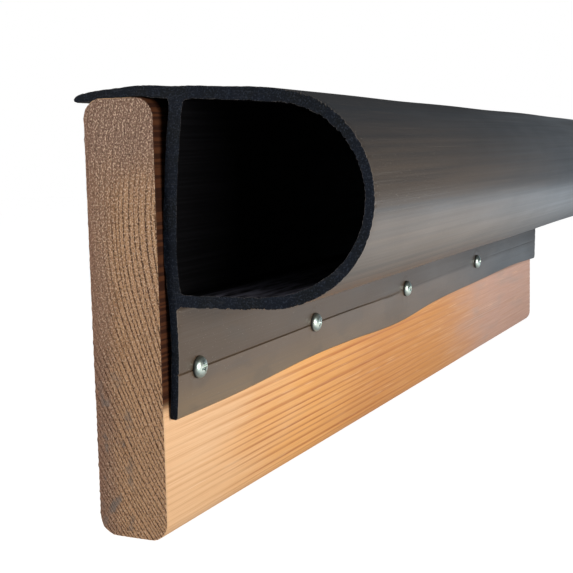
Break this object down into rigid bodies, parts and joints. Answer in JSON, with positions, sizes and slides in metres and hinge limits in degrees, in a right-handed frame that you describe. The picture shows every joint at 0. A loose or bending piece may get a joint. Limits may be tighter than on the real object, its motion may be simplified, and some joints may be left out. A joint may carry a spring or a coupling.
{
  "type": "door sweep",
  "caption": "Hollow rubber bulb seal with an over-edge lip and a screw flange, fitted along a timber door rail with pan-head screws; the bulb presses in and springs back.",
  "frame": {"origin": "centre of the timber rail's flat back face", "axes": "+X along the rail, -Y out of the rail's front face towards the bulb, +Z from the rail's plain edge to the edge under the lip"},
  "size_m": [0.476, 0.101, 0.1432],
  "materials": {
    "rail_timber": "oiled softwood, straight grain, open end grain",
    "seal_rubber": "satin extruded skin, matt cut ends",
    "bulb_rubber": "satin extruded skin, matt cut ends",
    "screw_zinc": "bright zinc plate"
  },
  "bodies": {
    "rail_and_strip": {"door_rail": "rail_timber", "seal_strip": "seal_rubber", "flange_screw_1": "screw_zinc", "flange_screw_2": "screw_zinc", "flange_screw_3": "screw_zinc", "flange_screw_4": "screw_zinc"},
    "bulb": {"seal_bulb": "bulb_rubber"}
  },
  "joints": [
    {"name": "bulb_compression", "type": "slide", "parent": "rail_and_strip", "child": "bulb", "axis": [0, 1, 0], "range_m": [0, 0.028], "stiffness_N_per_m": 1600, "deforming": ["seal_bulb"]}
  ]
}
